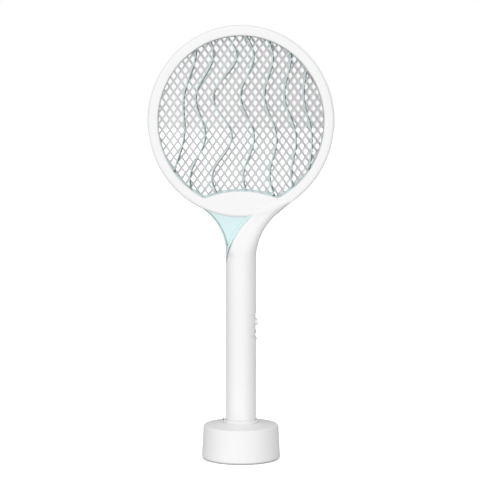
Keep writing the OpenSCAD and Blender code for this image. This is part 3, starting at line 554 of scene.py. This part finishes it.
def round_cut(bm, axis, u, z, r, depth, n=20):
    """A round hole through the skin about a line along x or y."""
    planes = []
    for i in range(n):
        a = 2 * math.pi * i / n
        c, s = math.cos(a), math.sin(a)
        if axis == "y":
            planes.append((((u + r * c) * MM, 0, (z + r * s) * MM), (c, 0, s)))
        else:
            planes.append(((0, (u + r * c) * MM, (z + r * s) * MM), (0, c, s)))

    def near(p):
        across = p.x if axis == "y" else p.y
        faces_out = p.y > 0.004 if axis == "y" else p.x > 0.004
        return faces_out and math.hypot(across - u * MM, p.z - z * MM) < (r + 2.5) * MM
    cut_out(bm, near, planes, depth)


def swatter_shells():
    points, faces = swatter_skin()
    for name, side, nodes in (("front_skin", -1, ("front_frame", "handle_front_shell")),
                              ("rear_skin", 1, ("rear_frame", "handle_rear_shell"))):
        obj = build_half(name, side, points, faces)
        obj.data.materials.append(MAT["white_shell"])
        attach(obj, "swatter")
        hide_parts(*nodes)


# ---------- Insert in the neck ----------

def insert_rim(x, z):
    """How far a place lies inside the insert's sunk panel; below zero it is on the rim."""
    from_tube = np.hypot(x - SWEEP_X, z - SWEEP_Z) - SWEEP_R
    return np.minimum(x + left_side(z) - 2.2, from_tube - 2.4)


def insert_profile(x, z):
    """Depth of the insert's face, with its rounded left edge, its rim and its sunk panel."""
    deep = half_depth(z) - 0.9
    from_left = np.maximum(x + left_side(z), 0)
    pocket = 1.3 * smooth(0.0, 0.35, insert_rim(x, z))
    r = deep + (4.2 - deep) * smooth(NECK_Z + 4, NECK_Z + 26, z)
    fall = np.where(from_left < r, r - np.sqrt(np.maximum(r * r - np.maximum(r - from_left, 0) ** 2, 0)), 0)
    return np.maximum(deep - pocket - fall, 0)


def insert_web():
    """The web between tube, ring and flare: one grid over the front, the edge and the back."""
    rows, cols = 190, 120
    low, high = NECK_Z - 4, NECK_Z + NECK_LEN + 11
    u = np.array([0.35 * (math.sin(math.pi * (j / cols - 0.5)) + 1) / 2 + 0.65 * j / cols
                  for j in range(cols + 1)]) ** 1.15
    verts, faces, painted_shade_marks = [], [], []
    m = 2 * (cols + 1) + 2
    for i in range(rows + 1):
        z = low + (high - low) * i / rows
        left = -float(left_side(z)) + 0.05
        right = float(sweep_side(z)) + 0.3 + 1.3 * float(smooth(NECK_Z + 14, NECK_Z + 30, z))
        xs = left + max(right - left, 0.05) * u
        ys = insert_profile(xs, z)
        front = [(x, -y, z) for x, y in zip(xs, ys)]
        back = [(x, y, z) for x, y in zip(xs, ys)]
        verts += [(xs[-1], -0.05, z)] + front[::-1] + back + [(xs[-1], 0.05, z)]
    for i in range(rows):
        for k in range(m - 1):
            faces.append((i * m + k, i * m + k + 1, (i + 1) * m + k + 1, (i + 1) * m + k))
            x, y, z = (np.array(verts[i * m + k]) + verts[(i + 1) * m + k + 1]) / 2
            edge = insert_rim(x, z)
            # Faces on the left step between the rim and the sunk panel take the darker mint look: painted
            # shade in the recess.
            painted_shade_marks.append(1 if -0.1 < edge < 0.5 and x + left_side(z) < 3.4 else 0)
    obj = make_object("neck_web", verts, faces,
                      [MAT["mint_plastic"], MAT["painted_step_shade"]], "swatter", 40)
    obj.data.polygons.foreach_set("material_index", painted_shade_marks)
    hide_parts("neck_insert")


# ---------- Ribs ----------

RIBS = ((-0.55, -0.84, 0.04), (-0.40, -0.58, 0.09), (-0.18, -0.26, 0.14), (0.06, 0.10, 0.09),
        (0.30, 0.42, 0.07), (0.52, 0.68, 0.06), (0.74, 0.88, 0.04))


def rib_x(rib, t):
    return WINDOW_R * (rib[0] + (rib[1] - rib[0]) * t
                       + rib[2] * math.sin(2 * math.pi * 2.1 * t) * (1 - 0.3 * t))


def rib_path(rib):
    """Points of one rib inside the rim, from the top down."""
    path = []
    for i in range(241):
        t = i / 240
        x, z = rib_x(rib, t), HEAD_Z + (1 - 2 * t) * WINDOW_R * ASPECT
        if oval(x, z) < WINDOW_R + 1.2 and math.hypot(x, z - CHIN_Z) > CHIN_R + 0.5:
            path.append((x, z))
    return path


def rib_frame(name, node):
    """Flowing ribs with a dark strip of painted shade along one side, on a rim that shows at the window's
    foot.
    """
    low, high = mm_box(node)
    y0, y1 = (high[1], low[1]) if name.startswith("front") else (low[1], high[1])
    verts, faces, painted_shade_marks = [], [], []
    w, shade_strip = 1.3, 1.0
    for rib in RIBS:
        path = rib_path(rib)
        base = len(verts)
        for i, (x, z) in enumerate(path):
            a, b = path[max(i - 1, 0)], path[min(i + 1, len(path) - 1)]
            t = np.array([b[0] - a[0], b[1] - a[1]])
            nx, nz = np.array([-t[1], t[0]]) / max(np.linalg.norm(t), 1e-6)
            if nx < 0:
                nx, nz = -nx, -nz
            section = [(-w, y0), (-w, y1 + 0.3 * np.sign(y0 - y1)), (-w + 0.3, y1), (w - shade_strip, y1),
                       (w - shade_strip + 0.05, y1), (w - 0.1, y1), (w, y1 + 0.2 * np.sign(y0 - y1)), (w, y0)]
            verts += [(x + s * nx, y, z + s * nz) for s, y in section]
        m = 8
        for i in range(len(path) - 1):
            for k in range(m):
                row, after = base + i * m, base + (i + 1) * m
                faces.append((row + k, row + (k + 1) % m, after + (k + 1) % m, after + k))
                # The front edge strip, corner and side wall on each rib's +x side take the near-black look:
                # painted shade.
                painted_shade_marks.append(1 if k in (4, 5, 6) else 0)
        last = base + (len(path) - 1) * m
        faces += [tuple(base + k for k in range(m)), tuple(last + k for k in range(m))[::-1]]
        painted_shade_marks += [0, 0]
    base = len(verts)
    n = 240
    for i in range(n):
        a = 2 * math.pi * i / n
        ux, uz = math.cos(a), math.sin(a) * ASPECT
        reach = WINDOW_R
        while reach > WINDOW_R * 0.5:
            x, z = reach * ux, HEAD_Z + reach * uz
            if oval(x, z - 2.3) <= WINDOW_R and math.hypot(x, z - CHIN_Z) >= CHIN_R + 2.3:
                break
            reach -= 0.1
        for r, y in ((reach, y1), (MESH_R - 0.2, y1), (MESH_R - 0.2, y0), (reach, y0)):
            verts.append((r * ux, y, HEAD_Z + r * uz))
    for i in range(n):
        j = (i + 1) % n
        for k in range(4):
            faces.append((base + i * 4 + k, base + i * 4 + (k + 1) % 4,
                          base + j * 4 + (k + 1) % 4, base + j * 4 + k))
            painted_shade_marks.append(0)
    looks = [MAT["mint_plastic"], MAT["painted_rib_shade"]]
    obj = make_object(name, verts, faces, looks, "swatter", 30)
    bm = bmesh.new()
    bm.from_mesh(obj.data)
    bmesh.ops.recalc_face_normals(bm, faces=bm.faces)
    bm.to_mesh(obj.data)
    bm.free()
    if len(obj.data.polygons) == len(painted_shade_marks):
        obj.data.polygons.foreach_set("material_index", painted_shade_marks)
    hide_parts(node)


# ---------- Base ----------

def base_body():
    """Outer wall and sloping top of the base as one turned skin, open at the collar."""
    low, high = mm_box("base_shell")
    crown = mm_box("base_top")[1][2]
    r, rim = min(high[0], high[1]), RIM_R
    top, inner = RIM_Z, COLLAR_R + 0.3
    fillet, foot = 1.6, 2.5
    profile = [(r - 2.2, low[2] + 6), (r - 2.2, low[2]), (r - foot, low[2])]
    profile += arc(r - foot, low[2] + foot, foot, -90, 0, 10)
    steps = 14
    start = np.array(profile[-1])
    end = np.array([rim, top - fillet])
    profile += [tuple(start + (end - start) * i / steps) for i in range(1, steps)]
    profile += arc(rim - fillet, top - fillet, fillet, 0, 86, 10)
    edge = np.array(profile[-1])
    crown_end = np.array([inner, crown])
    profile += [tuple(edge + (crown_end - edge) * i / 12) for i in range(1, 13)]
    profile += [(inner, crown - 2.2), (rim - 4, top - 2.4), (r - 2.2, top - 5)]
    verts, faces = lathe(profile, 180)
    mesh = bpy.data.meshes.new("base_body")
    mesh.from_pydata([tuple(np.array(v) * MM) for v in verts], [], faces)
    bm = bmesh.new()
    bm.from_mesh(mesh)
    ul, uh = mm_box("usb_inlet")
    middle, half = (ul + uh) / 2, (uh - ul) / 2 + 0.3
    slot_cut(bm, middle[0], middle[2], half[0], half[2])
    pl, ph = mm_box("base_light_pipe")
    down_cut(bm, (pl[0] + ph[0]) / 2, (pl[1] + ph[1]) / 2, (ph[0] - pl[0]) / 2 + 0.15, (34, 60), 0)
    bmesh.ops.recalc_face_normals(bm, faces=bm.faces)
    bm.to_mesh(mesh)
    bm.free()
    obj = bpy.data.objects.new("base_body", mesh)
    bpy.context.scene.collection.objects.link(obj)
    finish_object(obj, MAT["white_shell"], "base", 35)
    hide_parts("base_shell", "base_top")


def slot_cut(bm, x, z, half_w, half_h, n=10):
    """An opening with round ends through the base's back wall."""
    planes = [((0, 0, (z + s * half_h) * MM), (0, 0, s)) for s in (-1, 1)]
    for s in (-1, 1):
        cx = x + s * (half_w - half_h)
        for i in range(1, n):
            a = math.pi * (i / n - 0.5)
            c, q = math.cos(a) * s, math.sin(a)
            planes.append((((cx + half_h * c) * MM, 0, (z + half_h * q) * MM), (c, 0, q)))

    def near(p):
        beside, above = abs(p.x - x * MM), abs(p.z - z * MM)
        return p.y > 0.02 and beside < (half_w + 2) * MM and above < (half_h + 2) * MM
    cut_out(bm, near, planes, (0, 0, 0))


def down_cut(bm, x, y, r, between, depth, n=20):
    """A round hole down through a skin that lies between two heights."""
    planes = []
    for i in range(n):
        a = 2 * math.pi * i / n
        c, q = math.cos(a), math.sin(a)
        planes.append((((x + r * c) * MM, (y + r * q) * MM, 0), (c, q, 0)))

    def near(p):
        level = between[0] * MM < p.z < between[1] * MM
        return level and math.hypot(p.x - x * MM, p.y - y * MM) < (r + 2) * MM
    cut_out(bm, near, planes, (0, 0, -depth * MM))


def collar():
    """Lip and cup that the grip stands in."""
    low, high = mm_box("dock_socket")
    outer, inner, top = COLLAR_R, SOCKET_R, high[2]
    soft = 0.8
    profile = [(outer, low[2]), (outer, top - soft)] + arc(outer - soft, top - soft, soft, 0, 90, 6)
    profile += arc(inner + soft, top - soft, soft, 90, 180, 6)
    seat, rings = low[2] + 2, 14
    profile += [(inner * (1 - i / rings) + 0.01, seat) for i in range(rings + 1)]
    verts, faces = lathe(profile, 144)
    obj = make_object("dock_cup", verts, faces, MAT["white_shell"], "base")
    pin_high = mm_box("contact_pins")[1]
    bm = bmesh.new()
    bm.from_mesh(obj.data)
    for side in (-1, 1):
        down_cut(bm, side * (pin_high[0] - pin_high[1]), 0, pin_high[1] + 0.3, (seat - 1, seat + 1), 1.8)
    bm.to_mesh(obj.data)
    bm.free()
    finish_object(obj, MAT["white_shell"], "base", 35)
    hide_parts("dock_socket")


# ---------- Stage ----------

def floor():
    mesh = bpy.data.meshes.new("floor")
    d = 30.0
    mesh.from_pydata([(-d, -d, 0), (d, -d, 0), (d, d, 0), (-d, d, 0)], [], [(0, 1, 2, 3)])
    obj = bpy.data.objects.new("floor", mesh)
    obj.location.z = -0.0001
    mesh.materials.append(moulded("floor_look", (0.93, 0.93, 0.93), 0.9, 0.01, (0.92, 0.92, 0.92)))
    bpy.context.scene.collection.objects.link(obj)
    obj.visible_diffuse = False
    obj.visible_glossy = False
    return obj


def floor_lamp(obj):
    """A wide soft sun that only the floor receives, so that the floor stays as pale as the backdrop."""
    data = bpy.data.lights.new("floor_lamp", "SUN")
    data.energy = 2.5
    data.angle = math.radians(60)
    lamp = bpy.data.objects.new("floor_lamp", data)
    bpy.context.scene.collection.objects.link(lamp)
    only = bpy.data.collections.new("floor_only")
    only.objects.link(obj)
    lamp.light_linking.receiver_collection = only


def sky(world):
    """A studio that is bright in front and to the left, and darker above, behind and to the right."""
    world.use_nodes = True
    tree = world.node_tree
    link = tree.links.new
    back = tree.nodes["Background"]
    place = add(tree, "ShaderNodeTexCoord")
    toward = add(tree, "ShaderNodeVectorMath", operation="DOT_PRODUCT")
    toward.inputs[1].default_value = Vector((-0.16, -0.94, 0.30)).normalized()
    link(place.outputs["Generated"], toward.inputs[0])
    level = add(tree, "ShaderNodeMapRange", interpolation_type="SMOOTHSTEP")
    level.inputs["From Min"].default_value = -0.12
    level.inputs["From Max"].default_value = 0.85
    level.inputs["To Min"].default_value = 0.5
    level.inputs["To Max"].default_value = 1.52
    link(toward.outputs["Value"], level.inputs["Value"])
    link(level.outputs["Result"], back.inputs["Strength"])
    back.inputs["Color"].default_value = (1, 1, 1, 1)
    plain = add(tree, "ShaderNodeBackground")
    plain.inputs["Color"].default_value = (1, 1, 1, 1)
    plain.inputs["Strength"].default_value = 1.0
    ray = add(tree, "ShaderNodeLightPath")
    mix = add(tree, "ShaderNodeMixShader")
    link(ray.outputs["Is Camera Ray"], mix.inputs["Fac"])
    link(back.outputs["Background"], mix.inputs[1])
    link(plain.outputs["Background"], mix.inputs[2])
    link(mix.outputs["Shader"], tree.nodes["World Output"].inputs["Surface"])


def studio():
    scene = bpy.context.scene
    scene.view_settings.view_transform = "Standard"
    world = bpy.data.worlds.new("studio")
    scene.world = world
    sky(world)
    floor_lamp(floor())


def camera():
    data = bpy.data.cameras.new("camera")
    data.lens = 129.6
    data.sensor_width = 36
    cam = bpy.data.objects.new("camera", data)
    cam.location = (-0.00116, -2.0, 0.41)
    cam.rotation_euler = (math.radians(90 - 4.417), 0, 0)
    bpy.context.scene.collection.objects.link(cam)
    bpy.context.scene.camera = cam


dress_cad()
swatter_shells()
insert_web()
rib_frame("front_ribs", "front_rib_frame")
rib_frame("rear_ribs", "rear_rib_frame")
base_body()
collar()
studio()
camera()
